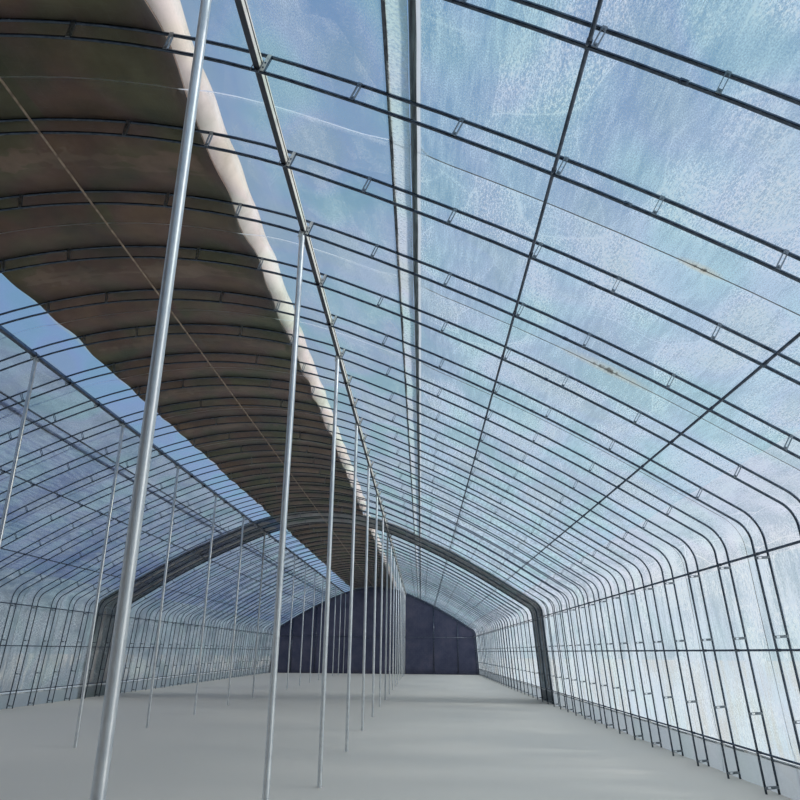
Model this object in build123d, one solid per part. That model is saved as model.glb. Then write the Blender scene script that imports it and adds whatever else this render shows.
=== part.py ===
from build123d import *
import os
from math import asin, cos, degrees, hypot, radians, sin

# Arched solar greenhouse at half scale, millimetres. X across, Y along, Z up.
# The origin is on the ground at the middle of the plan.

# Length
bay = 500
bay_count = 54
bays_per_post = 3

# Arch: centreline of the inner chord
ridge_height = 2768
foot_half_width = 3478
wall_lean = 4.2
crown_radius = 3064
crown_angle = 22
slope_radius = 11400
shoulder_radius = 150

# Rib: two chords of tube with links between them
rib_tube = 13
chord_spacing = 70
link_width = 12
wall_link_height = 400
shoulder_link_x = 3119
crown_runs = 3
shoulder_runs = 2

# Long pipes: how far each lies from the middle, or its height on the wall
beam_x = 1039
beam_size = 25
upper_purlin_x = 2022
lower_purlin_x = 2838
purlin_diameter = 12
eave_pipe_diameter = 14
eave_pipe_height = 1221
wall_pipe_diameter = 12
mid_wall_height = 736
low_wall_height = 204
ridge_rod_diameter = 10
pipe_clearance = 1

# Posts under the beams
post_diameter = 26

# Film and what holds it
film_thickness = 2
clip_width = 14
clip_depth = 6
skirt_height = 190
roof_clip_x = 1463
vent_pipe_x = 1544
vent_pipe_diameter = 34

# Quilts
quilt_thickness = 18
cover_right_reach = 667
cover_left_reach = 780
roll_diameter = 242
roll_inset = 96
band_length = 1200
band_clearance = 20

# Gables
gable_rail_diameter = 18
gable_rail_height = 1180

seat_gap = 0.3

# Worked out from the sizes above
rib_count = bay_count + 1
first_rib_y = -bay * bay_count / 2
end_y = post_diameter / 2 - first_rib_y
chord_half = rib_tube / 2
film_inner = chord_spacing + chord_half
film_outer = film_inner + film_thickness
wall_angle = 90 - wall_lean


def outward(angle):
    """Unit vector out of the arch where its tangent has turned down by this angle."""
    return sin(radians(angle)), cos(radians(angle))


def stepped(point, direction, distance):
    """Point at a distance from another one, along a direction."""
    return point[0] + direction[0] * distance, point[1] + direction[1] * distance


# Crown arc and slope arc, tangent to each other
crown_centre = (0, ridge_height - crown_radius)
slope_centre = stepped(crown_centre, outward(crown_angle), crown_radius - slope_radius)
crown_reach = crown_radius * sin(radians(crown_angle))


def angle_at(x):
    """Angle of the crown or the slope at a distance from the middle."""
    if x <= crown_reach:
        return degrees(asin(x / crown_radius))
    return degrees(asin((x - slope_centre[0]) / slope_radius))


# Below the lower purlin the slope runs straight to a tight shoulder, tangent to it and to the straight wall
shoulder_angle = angle_at(lower_purlin_x)
shoulder_turn = wall_angle - shoulder_angle
wall_out = outward(wall_angle)
run_start = stepped(slope_centre, outward(shoulder_angle), slope_radius - shoulder_radius)
start_to_wall = (foot_half_width - run_start[0]) * wall_out[0] - run_start[1] * wall_out[1]
straight_run = (start_to_wall - shoulder_radius) / sin(radians(shoulder_turn))
shoulder_centre = stepped(run_start, outward(shoulder_angle + 90), straight_run)


def arc_point(angle, offset):
    """Point of the arch at an angle, this far outside the inner chord's centreline."""
    if angle <= crown_angle:
        return stepped(crown_centre, outward(angle), crown_radius + offset)
    if angle < shoulder_angle:
        return stepped(slope_centre, outward(angle), slope_radius + offset)
    return stepped(shoulder_centre, outward(angle), shoulder_radius + offset)


def break_angle(pipe_x, width):
    """Angle where the rib is joined, just above a pipe that rests on the inner chord."""
    step = link_width / 2 + pipe_clearance + width / 2
    return angle_at(pipe_x - step * cos(radians(angle_at(pipe_x))))


# Corners of half an arch, from the ridge to the foot, as angles of the arcs
beam_break = break_angle(beam_x, beam_size)
corner_angles = [beam_break * run / crown_runs for run in range(crown_runs + 1)]
corner_angles.append(break_angle(upper_purlin_x, purlin_diameter))
corner_angles.append(break_angle(lower_purlin_x, purlin_diameter))
corner_angles += [shoulder_angle + shoulder_turn * run / shoulder_runs for run in range(shoulder_runs + 1)]

RIDGE = 0
BEAM = crown_runs
UPPER = BEAM + 1
LOWER = UPPER + 1
SHOULDER = LOWER + 1
EAVE = SHOULDER + shoulder_runs
FOOT = EAVE + 1


def corner(number, offset):
    """Corner of the arch outline; the foot is cut level with the ground."""
    if number == FOOT:
        return foot_half_width + offset / wall_out[0], 0
    return arc_point(corner_angles[number], offset)


def place(station, offset):
    """Point of the outline at a station, which is a corner number and a share of the run after it."""
    number = min(int(station), FOOT - 1)
    share = station - number
    start, end = corner(number, offset), corner(number + 1, offset)
    return tuple(start[i] + (end[i] - start[i]) * share for i in (0, 1))


def run_length(number):
    start, end = corner(number, 0), corner(number + 1, 0)
    return hypot(end[0] - start[0], end[1] - start[1])


def station_at(x):
    """Station on the roof at a distance from the middle."""
    number = max(n for n in range(SHOULDER) if corner(n, 0)[0] <= x)
    start, end = corner(number, 0), corner(number + 1, 0)
    return number + (x - start[0]) / (end[0] - start[0])


def wall_station(height):
    """Station on the straight wall at a height."""
    return FOOT - height / corner(EAVE, 0)[1]


def after(station, distance):
    return station + distance / run_length(int(station))


def before(station, distance):
    number = int(station) if station > int(station) else int(station) - 1
    return station - distance / run_length(number)


def above(station, offset, distance):
    """Point square out from the outline's run, so that a round pipe there touches the run."""
    number = min(int(station), FOOT - 1)
    start, end = corner(number, offset), corner(number + 1, offset)
    length = hypot(end[0] - start[0], end[1] - start[1])
    square_out = ((start[1] - end[1]) / length, (end[0] - start[0]) / length)
    return stepped(place(station, offset), square_out, distance)


def outline(start, end, inner, outer):
    """Points round a stretch of the arch's wall between two offsets."""
    between = [n for n in range(FOOT + 1) if start < n < end]
    stations = [start] + between + [end]
    there = [place(station, inner) for station in stations]
    back = [place(station, outer) for station in reversed(stations)]
    return there + back


def half_line(end, offset):
    """Points down one half of the arch, from the ridge to a station."""
    stations = [n for n in range(FOOT + 1) if n < end] + [end]
    return [place(station, offset) for station in stations]


def over_ridge(left_end, right_end, inner, outer):
    """Points round the arch from a station on the left, over the ridge, to one on the right."""
    left_under = [(-x, z) for x, z in half_line(left_end, inner)[:0:-1]]
    left_over = [(-x, z) for x, z in half_line(left_end, outer)[1:]]
    return left_under + half_line(right_end, inner) + half_line(right_end, outer)[::-1] + left_over


def wire(points, side):
    return Polyline(*[(side * x, z) for x, z in points], close=True).wire()


def sheet_of(points, side, length, holes=()):
    """Flat piece with holes, as wide as its length along the house and centred on it."""
    upright = Plane(origin=(0, length / 2, 0), x_dir=(1, 0, 0), z_dir=(0, -1, 0))
    face = Face(wire(points, side), [wire(hole, side) for hole in holes])
    if face.normal_at().Z < 0:
        face = -face
    return extrude(upright * face, amount=length)


def pipe(centre, side, diameter, length):
    """Round pipe along the house."""
    upright = Plane(origin=(side * centre[0], length / 2, centre[1]), z_dir=(0, -1, 0))
    return extrude(upright * Circle(diameter / 2), amount=length)


def save(name, solids):
    export_step(Compound(children=solids), "parts/" + name + ".step")


os.makedirs("parts", exist_ok=True)
sides = {"right": 1, "left": -1}
both = (1, -1)
house_length = 2 * end_y
rib_ys = [first_rib_y + bay * number for number in range(rib_count)]

# Ribs, in stretches that meet at the links beside the long pipes
eave_station = wall_station(eave_pipe_height)
shoulder_link = station_at(shoulder_link_x)
eave_link = after(eave_station, eave_pipe_diameter / 2 + pipe_clearance + link_width / 2)
mid_link = after(wall_station(mid_wall_height), -(wall_pipe_diameter / 2 + pipe_clearance + link_width / 2))
wall_link = wall_station(wall_link_height)
rib_stretches = {
    "crown_ribs": [RIDGE, (RIDGE + BEAM) / 2, BEAM],
    "upper_slope_ribs": [BEAM, UPPER],
    "lower_slope_ribs": [UPPER, LOWER, shoulder_link],
    "shoulder_ribs": [shoulder_link, eave_link],
    "wall_ribs": [eave_link, mid_link, wall_link, FOOT],
}
for stretch, links in rib_stretches.items():
    holes = [
        outline(
            after(upper, link_width / 2),
            before(lower, link_width / 2),
            chord_half,
            chord_spacing - chord_half,
        )
        for upper, lower in zip(links, links[1:])
    ]
    rim = outline(links[0], links[-1], -chord_half, film_inner)
    for name, side in sides.items():
        rib = sheet_of(rim, side, rib_tube, holes)
        save(stretch + "_" + name, [Pos(0, y, 0) * rib for y in rib_ys])

# Square beams over the posts, and round pipes, on the inner chords
beam_rim = outline(
    after(station_at(beam_x), -beam_size / 2),
    after(station_at(beam_x), beam_size / 2),
    chord_half,
    chord_half + beam_size,
)
save("post_beams", [sheet_of(beam_rim, side, house_length) for side in both])

pipe_rows = {
    "slope_purlins": [
        (station_at(upper_purlin_x), purlin_diameter),
        (station_at(lower_purlin_x), purlin_diameter),
    ],
    "eave_pipes": [(eave_station, eave_pipe_diameter)],
    "wall_pipes": [
        (wall_station(mid_wall_height), wall_pipe_diameter),
        (wall_station(low_wall_height), wall_pipe_diameter),
    ],
}
for name, rows in pipe_rows.items():
    save(name, [
        pipe(above(station, chord_half, diameter / 2), side, diameter, house_length)
        for station, diameter in rows
        for side in both
    ])

ridge_turn = corner_angles[1] / 2
rod_drop = ridge_rod_diameter / 2 / cos(radians(ridge_turn))
rod_height = corner(RIDGE, -chord_half)[1] - rod_drop
save("ridge_rod", [pipe((0, rod_height), 1, ridge_rod_diameter, house_length)])

# Posts from the ground to the ribs under each beam
space_above = sheet_of(outline(RIDGE, SHOULDER, -chord_half, ridge_height), 1, 2 * post_diameter)


def upright_tube(x):
    """Tube on the ground at a distance from the middle, cut to the slope of the chord over it."""
    blank = Cylinder(post_diameter / 2, ridge_height, align=(Align.CENTER, Align.CENTER, Align.MIN))
    return Pos(x, 0, 0) * blank - space_above


post = upright_tube(beam_x)
for name, side in sides.items():
    one = post if side > 0 else mirror(post, about=Plane.YZ)
    save("post_row_" + name, [Pos(0, y, 0) * one for y in rib_ys[::bays_per_post]])

# Film in stretches from the ridge to the ground
vent_station = station_at(vent_pipe_x)
skirt_station = wall_station(skirt_height)
film_stretches = {
    "crown_film": (RIDGE, vent_station),
    "slope_film": (vent_station, shoulder_link),
    "shoulder_film": (shoulder_link, eave_link),
    "wall_film": (eave_link, skirt_station),
    "skirt_film": (skirt_station, FOOT),
}
for stretch, (start, end) in film_stretches.items():
    for name, side in sides.items():
        film = sheet_of(outline(start, end, film_inner, film_outer), side, house_length)
        save(stretch + "_" + name, [film])

# Clip channels on the film
clip_outlines = {
    name: outline(
        after(station, -clip_width / 2), after(station, clip_width / 2), film_outer, film_outer + clip_depth
    )
    for name, station in (("roof_clips", station_at(roof_clip_x)), ("skirt_clips", skirt_station))
}
for name, rim in clip_outlines.items():
    save(name, [sheet_of(rim, side, house_length) for side in both])

# A quilt band over the middle of the house, from ground to ground
quilt_outer = film_outer + quilt_thickness
band = sheet_of(over_ridge(FOOT, FOOT, film_outer, quilt_outer), 1, band_length)
for rim in clip_outlines.values():
    for side in both:
        band -= sheet_of(rim, side, 2 * band_length)
save("centre_quilt_band", [band])

# On both sides of the band: vent pipes, and a quilt cover with a roll of the same quilt on each edge
part_length = end_y - band_length / 2 - band_clearance
part_ys = [(end_y - part_length / 2) * side for side in both]
vent_centre = above(vent_station, film_outer, vent_pipe_diameter / 2)
right_roll, left_roll = [
    above(station_at(reach - roll_inset), quilt_outer, roll_diameter / 2 + seat_gap)
    for reach in (cover_right_reach, cover_left_reach)
]
for name, centres, diameter in (
    ("vent_pipes", (vent_centre, vent_centre), vent_pipe_diameter),
    ("quilt_rolls", (right_roll, left_roll), roll_diameter),
):
    pipes = [pipe(centre, side, diameter, part_length) for centre, side in zip(centres, both)]
    save(name, [Pos(0, y, 0) * one for y in part_ys for one in pipes])
cover_rim = over_ridge(station_at(cover_left_reach), station_at(cover_right_reach), film_outer, quilt_outer)
cover = sheet_of(cover_rim, 1, part_length)
save("quilt_cover", [Pos(0, y, 0) * cover for y in part_ys])

# Gables: a quilt wall on tubes, with a rail across them
arch_points = [place(n, film_outer) for n in range(FOOT + 1)]
gable_rim = [(-x, z) for x, z in arch_points[:0:-1]] + arch_points
gable_quilt = sheet_of(gable_rim, 1, quilt_thickness)
pole_y = end_y - post_diameter / 2
rail_y = end_y - post_diameter - gable_rail_diameter / 2
rail_station = wall_station(gable_rail_height)
rail_reach = place(rail_station, -chord_half)[0]
rail = Pos(0, 0, gable_rail_height) * Rot(0, 90, 0) * Cylinder(gable_rail_diameter / 2, 2 * rail_reach)
poles = [upright_tube(x) for x in (upper_purlin_x, lower_purlin_x)]
for name, end in (("near", -1), ("far", 1)):
    save("gable_quilt_" + name, [Pos(0, end * (end_y + quilt_thickness / 2), 0) * gable_quilt])
    save("gable_rail_" + name, [Pos(0, end * rail_y, 0) * rail])
    standing = [Pos(0, end * pole_y, 0) * pole for pole in poles]
    save("gable_poles_" + name, standing + [mirror(pole, about=Plane.YZ) for pole in standing])
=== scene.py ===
# %% [markdown]
# # An arched greenhouse, at half scale
# A long tunnel of double tube ribs carries plastic film, with rolled quilts on its crown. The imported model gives
# every piece its place. This lesson dresses it: smooth bent tubes, small brackets, wrinkled film and stitched
# quilts. All lengths are in metres, X runs across the house, Y along it, and Z is up.

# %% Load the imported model
import math
import bpy
import numpy as np
from mathutils import Matrix, Vector


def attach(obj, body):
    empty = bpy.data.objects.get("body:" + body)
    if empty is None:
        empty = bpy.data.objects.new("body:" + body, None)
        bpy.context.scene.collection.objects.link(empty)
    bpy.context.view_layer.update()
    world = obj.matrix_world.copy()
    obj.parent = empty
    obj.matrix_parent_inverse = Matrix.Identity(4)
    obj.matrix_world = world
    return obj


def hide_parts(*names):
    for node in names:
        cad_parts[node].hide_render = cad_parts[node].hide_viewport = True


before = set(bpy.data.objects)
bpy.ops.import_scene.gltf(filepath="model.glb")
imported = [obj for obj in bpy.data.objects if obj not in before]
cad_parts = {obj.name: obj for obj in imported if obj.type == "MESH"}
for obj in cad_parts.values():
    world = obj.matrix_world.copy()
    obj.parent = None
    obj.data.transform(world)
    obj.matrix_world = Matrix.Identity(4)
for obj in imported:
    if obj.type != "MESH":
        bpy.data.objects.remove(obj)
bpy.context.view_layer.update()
print("packed model:", len(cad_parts), "nodes")

# %% [markdown]
# ## The camera
# The photograph was taken inside the house, low down and a little to the right of the right post row. A camera
# that leans up by nearly twenty degrees makes the posts lean, so its direction is built as a small matrix: right,
# up and backwards are its three columns.

# %% Camera
camera_place = Vector((1.605, -11.878, 0.7125))
camera_pitch = 0.343323
camera_yaw = 0.032058
camera_roll = 0.00971
focal_pixels = 703.686
frame_pixels = 800
sensor_width = 36

forward = Vector((
    -math.sin(camera_yaw) * math.cos(camera_pitch),
    math.cos(camera_yaw) * math.cos(camera_pitch),
    math.sin(camera_pitch),
))
level_right = Vector((math.cos(camera_yaw), math.sin(camera_yaw), 0))
level_up = level_right.cross(forward)
right = level_right * math.cos(camera_roll) + level_up * math.sin(camera_roll)
up = level_up * math.cos(camera_roll) - level_right * math.sin(camera_roll)

camera_data = bpy.data.cameras.new("camera")
camera_data.sensor_width = sensor_width
camera_data.lens = focal_pixels / frame_pixels * sensor_width
camera_data.clip_start = 0.02
camera = bpy.data.objects.new("camera", camera_data)
bpy.context.collection.objects.link(camera)
turn = Matrix((right, up, -forward)).transposed()
camera.matrix_world = Matrix.Translation(camera_place) @ turn.to_4x4()
bpy.context.scene.camera = camera
print("lens", round(camera_data.lens, 2), "mm")

# %% [markdown]
# ## The arch as a formula
# Every rib, film and quilt follows one arch: a crown arc, a long flat slope arc, a short straight run, a tight
# shoulder and a straight wall that leans in. One function that turns a distance along the arch into a place keeps
# them all in step.

# %% The arch
ridge_height = 2.768
foot_half_width = 3.478
wall_lean = math.radians(4.2)
crown_radius = 3.064
crown_turn = math.radians(22)
slope_radius = 11.4
shoulder_radius = 0.15
lower_purlin_x = 2.838
wall_turn = math.pi / 2 - wall_lean


def outward(turned):
    """Unit direction out of the arch, where it has turned down by this much."""
    return np.array([math.sin(turned), math.cos(turned)])


def downward(turned):
    """Unit direction down along the arch, where it has turned down by this much."""
    return np.array([math.cos(turned), -math.sin(turned)])


crown_centre = np.array([0, ridge_height - crown_radius])
slope_centre = crown_centre - (slope_radius - crown_radius) * outward(crown_turn)
shoulder_turn = math.asin((lower_purlin_x - slope_centre[0]) / slope_radius)
run_start = slope_centre + slope_radius * outward(shoulder_turn)
to_wall = (np.array([foot_half_width, 0]) - run_start) @ outward(wall_turn)
corner_gap = shoulder_radius * (1 - math.cos(wall_turn - shoulder_turn))
straight_run = (to_wall - corner_gap) / math.sin(wall_turn - shoulder_turn)
shoulder_centre = run_start + straight_run * downward(shoulder_turn) - shoulder_radius * outward(shoulder_turn)

crown_end = crown_radius * crown_turn
slope_end = crown_end + slope_radius * (shoulder_turn - crown_turn)
run_end = slope_end + straight_run
eave = run_end + shoulder_radius * (wall_turn - shoulder_turn)
eave_height = (shoulder_centre + shoulder_radius * outward(wall_turn))[1]
foot = eave + eave_height / math.cos(wall_lean)


def arch(distance, offset=0.0):
    """Place (x, z) at a distance down the inner chord from the ridge, and the way out of the arch there."""
    side = -1 if distance < 0 else 1
    distance = abs(distance)
    along = 0
    if distance <= crown_end:
        centre, radius, turned = crown_centre, crown_radius, distance / crown_radius
    elif distance <= slope_end:
        centre, radius = slope_centre, slope_radius
        turned = crown_turn + (distance - crown_end) / slope_radius
    elif distance <= run_end:
        centre, radius, turned = slope_centre, slope_radius, shoulder_turn
        along = distance - slope_end
    elif distance <= eave:
        centre, radius = shoulder_centre, shoulder_radius
        turned = shoulder_turn + (distance - run_end) / shoulder_radius
    else:
        centre, radius, turned = shoulder_centre, shoulder_radius, wall_turn
        along = distance - eave
    out = outward(turned)
    place = centre + (radius + offset) * out + along * downward(turned)
    mirrored = np.array([side, 1])
    return place * mirrored, out * mirrored


def distance_at_x(x):
    """Distance down the arch to a place on the roof."""
    turned = math.asin(x / crown_radius)
    if turned <= crown_turn:
        return crown_radius * turned
    turned = math.asin((x - slope_centre[0]) / slope_radius)
    return crown_end + slope_radius * (turned - crown_turn)


def distance_at_height(height):
    """Distance down the arch to a height on the straight wall."""
    return foot - height / math.cos(wall_lean)


def ground_distance(offset):
    """Distance at which a line this far outside the inner chord meets the ground."""
    return foot + offset * math.tan(wall_lean)


print("arch length", round(foot, 3), "eave at", round(eave, 3), "height", round(float(eave_height), 3))

# %% [markdown]
# ## Short calls for shaders
# Materials and the sky are small networks of nodes. One class makes a node and joins its inputs in one call, so
# that each network below reads like a formula.

# %% Shader helpers
class Nodes:
    """The nodes of one material, or of the sky."""

    def __init__(self, owner, output="OutputMaterial"):
        owner.use_nodes = True
        self.tree = owner.node_tree
        self.tree.nodes.clear()
        self.output = self.add(output)

    def add(self, kind, inputs=None, **settings):
        """New node. Each input gets a number, a colour, or another node's output."""
        node = self.tree.nodes.new("ShaderNode" + kind)
        for setting, value in settings.items():
            setattr(node, setting, value)
        for key, value in (inputs or {}).items():
            socket = node.inputs[key]
            if isinstance(value, bpy.types.NodeSocket):
                self.tree.links.new(value, socket)
            elif isinstance(value, tuple) and socket.type == "RGBA":
                socket.default_value = (*value, 1)
            else:
                socket.default_value = value
        return node

    def show(self, shader):
        """Uses this shader for the surface, or for the sky."""
        self.tree.links.new(shader.outputs[0], self.output.inputs[0])

    def place(self, kind):
        """Coordinates of one kind: the object's own, the flat ones, or a direction in the sky."""
        return self.add("TexCoord").outputs[kind]

    def axes(self, vector):
        return self.add("SeparateXYZ", {0: vector}).outputs

    def facing_up(self):
        """The upward part of the surface's own direction."""
        return self.axes(self.add("NewGeometry").outputs["True Normal"])["Z"]

    def stretched(self, vector, stretch):
        return self.add("Mapping", {"Vector": vector, "Scale": (*stretch, 1)}).outputs["Vector"]

    def noise(self, vector, scale, detail, roughness=0.5, dimensions="3D"):
        inputs = {"Vector": vector, "Scale": scale, "Detail": detail, "Roughness": roughness}
        return self.add("TexNoise", inputs, noise_dimensions=dimensions).outputs["Fac"]

    def math(self, kind, first, second):
        return self.add("Math", {0: first, 1: second}, operation=kind).outputs[0]

    def mapped(self, value, low, high, to_low=0.0, to_high=1.0, curve="LINEAR"):
        """The value moved from one range to another, and kept in it."""
        inputs = {"Value": value, "From Min": low, "From Max": high, "To Min": to_low, "To Max": to_high}
        return self.add("MapRange", inputs, interpolation_type=curve).outputs["Result"]

    def mixed(self, factor, colour, other, kind="MIX"):
        """The first colour where the factor is 0, and the other where it is 1."""
        inputs = {"Factor": factor, "A": colour, "B": other}
        return self.add("Mix", inputs, data_type="RGBA", blend_type=kind).outputs["Result"]

    def ramp(self, value, *stops):
        """Colour ramp through (position, colour) stops. A colour's fourth number is the ramp's alpha."""
        node = self.add("ValToRGB", {"Fac": value})
        elements = node.color_ramp.elements
        for number, (position, colour) in ((0, stops[0]), (1, stops[-1])):
            elements[number].position = position
            elements[number].color = (*colour, 1)[:4]
        for position, colour in stops[1:-1]:
            elements.new(position).color = (*colour, 1)[:4]
        return node.outputs["Color"]

    def bump(self, height, strength, depth, over=None, **settings):
        """Bump in the surface, which may lie over another one."""
        inputs = {"Height": height, "Strength": strength, "Distance": depth}
        if over is not None:
            inputs["Normal"] = over
        return self.add("Bump", inputs, **settings).outputs["Normal"]


def new_material(name):
    """Empty material, and its nodes."""
    material = bpy.data.materials.new(name)
    return material, Nodes(material)


print("shader helpers ready")

# %% [markdown]
# ## Stage and light
# The floor is plain and pale. The film lets daylight in all over, so a soft white sky does most of the work, and a
# wide low sun from the right gives the posts their bright side, as in the photograph.

# %% Stage
floor_material, nodes = new_material("pale_floor")
nodes.show(nodes.add("BsdfPrincipled", {"Base Color": (0.8, 0.75, 0.68), "Roughness": 0.9}))
floor_half = 90
floor_mesh = bpy.data.meshes.new("floor")
floor_corners = [(x * floor_half, y * floor_half, 0) for x, y in ((-1, -1), (1, -1), (1, 1), (-1, 1))]
floor_mesh.from_pydata(floor_corners, [], [(0, 1, 2, 3)])
floor_mesh.materials.append(floor_material)
floor = bpy.data.objects.new("floor", floor_mesh)
bpy.context.collection.objects.link(floor)
print("floor ready")

# %% Sky and sun
world = bpy.data.worlds.new("sky")
bpy.context.scene.world = world
nodes = Nodes(world, "OutputWorld")
rays = nodes.add("LightPath").outputs
seen = nodes.math("MAXIMUM", rays["Is Camera Ray"], rays["Is Glossy Ray"])
seen_or_bent = nodes.math("MAXIMUM", seen, rays["Is Transmission Ray"])
towards = nodes.axes(nodes.place("Generated"))


def sky_dome(low, high, left_strength, right_strength):
    """Sky from its colour at the horizon to that overhead, brighter on the sunny right side of the house."""
    colour = nodes.mixed(towards["Z"], low, high)
    strength = nodes.mapped(towards["X"], -1, 1, left_strength, right_strength)
    return nodes.add("Background", {"Color": colour, "Strength": strength}).outputs[0]


light_sky = sky_dome((0.95, 0.97, 1), (0.88, 0.94, 1), 0.45, 0.95)
seen_sky = sky_dome((0.45, 0.56, 0.64), (0.15, 0.32, 0.6), 0.8, 1.05)
nodes.show(nodes.add("MixShader", {0: seen_or_bent, 1: light_sky, 2: seen_sky}))

sun_data = bpy.data.lights.new("sun", "SUN")
sun_data.energy = 2.1
sun_data.angle = math.radians(12)
sun_data.color = (1, 0.97, 0.92)
sun = bpy.data.objects.new("sun", sun_data)
bpy.context.collection.objects.link(sun)
sun_from = Vector((1, -0.12, 0.42))
sun.rotation_euler = sun_from.to_track_quat("Z", "Y").to_euler()

bpy.context.scene.view_settings.view_transform = "Standard"
print("sky and sun ready")

# %% [markdown]
# ## Helpers for pieces
# A piece is made from lists of corners and faces, and gets a material, smooth shading and a ride on the building.
# Copies of a small shape are joined into one mesh, because 55 ribs as 55 objects would be slow to handle. Small
# parts are modelled as if the arch lay flat, and one function then sets them on it.

# %% Piece helpers
house = "root"


def make_piece(name, corners, faces, material, slot, replaced=(), smooth=True, uv=None):
    """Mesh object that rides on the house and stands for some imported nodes."""
    mesh = bpy.data.meshes.new(name)
    mesh.from_pydata([tuple(corner) for corner in corners], [], [tuple(face) for face in faces])
    mesh.materials.append(material)
    if smooth:
        mesh.shade_smooth()
    if uv is not None:
        layer = mesh.uv_layers.new(name="UVMap")
        loop_corners = np.empty(len(mesh.loops), np.int32)
        mesh.loops.foreach_get("vertex_index", loop_corners)
        layer.data.foreach_set("uv", np.asarray(uv, np.float32)[loop_corners].ravel())
    mesh.update()
    piece = bpy.data.objects.new(name, mesh)
    bpy.context.collection.objects.link(piece)
    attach(piece, house)
    if replaced:
        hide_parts(*replaced)
    triangles = sum(len(polygon.vertices) - 2 for polygon in mesh.polygons)
    print(name, triangles, "triangles")
    return piece


def joined(shapes):
    """One list of corners and one of faces from many (corners, faces) pairs."""
    corners, faces, count = [], [], 0
    for shape_corners, shape_faces in shapes:
        corners.append(np.asarray(shape_corners, float))
        faces += [tuple(count + number for number in face) for face in shape_faces]
        count += len(shape_corners)
    return np.vstack(corners), faces


def copies(shape, moves):
    """The same shape at many places, as one shape."""
    corners, faces = shape
    return joined([(np.asarray(corners) + np.asarray(move), faces) for move in moves])


def ring_faces(rings, sides, closed_ends=True):
    """Faces that join a row of rings of corners into a tube."""
    faces = []
    for ring in range(rings - 1):
        for k in range(sides):
            a = ring * sides + k
            b = ring * sides + (k + 1) % sides
            faces.append((a, b, b + sides, a + sides))
    if closed_ends:
        faces.append(tuple(range(sides - 1, -1, -1)))
        faces.append(tuple((rings - 1) * sides + k for k in range(sides)))
    return faces


def both_halves(half):
    """Distances from the left side of the arch to the right, from those of its right half."""
    return np.concatenate([-half[:0:-1], half])


def random_waves(seed, count, *ranges):
    """Rows of random numbers, one in each range. They are the same in every run."""
    random = np.random.default_rng(seed)
    return [[random.uniform(*limits) for limits in ranges] for _ in range(count)]


def round_ring(radius, sides):
    turns = np.linspace(0, 2 * math.pi, sides, endpoint=False)
    return [(radius * math.cos(turned), radius * math.sin(turned)) for turned in turns]


def arch_tube(distances, offset, radius, sides, y=0.0):
    """Tube that follows the arch. The offset is a number, or a function of the distance."""
    rings = []
    for distance in distances:
        place, out = arch(distance, offset(distance) if callable(offset) else offset)
        for lift, across in round_ring(radius, sides):
            rings.append((place[0] + out[0] * lift, y + across, place[1] + out[1] * lift))
    return np.array(rings), ring_faces(len(distances), sides)


def along_arch(distance, points):
    """Corners given as (down the arch, along the house, out from the inner chord), set on the arch."""
    place, out = arch(distance, 0)
    side = -1 if distance < 0 else 1
    down = np.array([out[1], -out[0]]) * side
    return [(place[0] + down[0] * t + out[0] * n, y, place[1] + down[1] * t + out[1] * n) for t, y, n in points]


def on_arch(distance, *parts):
    """Small parts joined into one shape and set on the arch."""
    corners, faces = joined(parts)
    return np.array(along_arch(distance, corners)), faces


def on_both_sides(build, *rows):
    """One shape of build(distance, ...) for every row, on the right and on the left of the house."""
    return joined([build(side * distance, *more) for distance, *more in rows for side in (1, -1)])


def grid_faces(rows, columns):
    """Four-sided faces of a grid of corners."""
    starts = [row * columns + column for row in range(rows - 1) for column in range(columns - 1)]
    return [(a, a + 1, a + columns + 1, a + columns) for a in starts]


def backwards(faces):
    """The same faces, looking the other way."""
    return [face[::-1] for face in faces]


def slab_faces(rows, columns):
    """Faces of a closed slab whose corners are two grids: its two sides, and its four rims."""
    size = rows * columns
    lower = grid_faces(rows, columns)
    upper = [tuple(number + size for number in face) for face in lower]
    rims = [
        [(a, a + columns, a + columns + size, a + size) for a in range(first, size - columns, columns)]
        for first in (0, columns - 1)
    ] + [
        [(a, a + 1, a + 1 + size, a + size) for a in range(first, first + columns - 1)]
        for first in (0, size - columns)
    ]
    return lower, upper, rims


print("helpers ready")

# %% [markdown]
# ## Galvanised steel
# Zinc is bright where it is new, and dulls to a blue grey. A metal shader with a little noise in its roughness and
# colour gives the cloudy look of zinc, without any picture. The posts' highlights are stretched upright, as fine
# lines round a tube would do.

# %% Steel materials
def steel(name, colour, dark, roughness, patch_scale, painted_shade_below=None, metal=1.0, upright=0.0):
    """Zinc in two tones. Faces that look down may take a painted shade colour; upright stretches highlights along
    a post.
    """
    material, nodes = new_material(name)
    patches = nodes.noise(nodes.place("Object"), patch_scale, 5)
    base = nodes.ramp(patches, (0.32, dark), (0.62, colour))
    if painted_shade_below:
        # Painted shade: faces that look down are mixed towards the darker colour.
        base = nodes.mixed(nodes.mapped(nodes.facing_up(), -0.75, -0.55, 1, 0), base, painted_shade_below)
    inputs = {
        "Base Color": base, "Metallic": metal, "Normal": nodes.bump(patches, 0.08, 0.001),
        "Roughness": nodes.mapped(patches, 0, 1, roughness - 0.06, roughness + 0.1),
    }
    if upright:
        inputs["Anisotropic"] = upright
        inputs["Tangent"] = nodes.add("CombineXYZ", {"Z": 1}).outputs[0]
    nodes.show(nodes.add("BsdfPrincipled", inputs))
    return material


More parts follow.
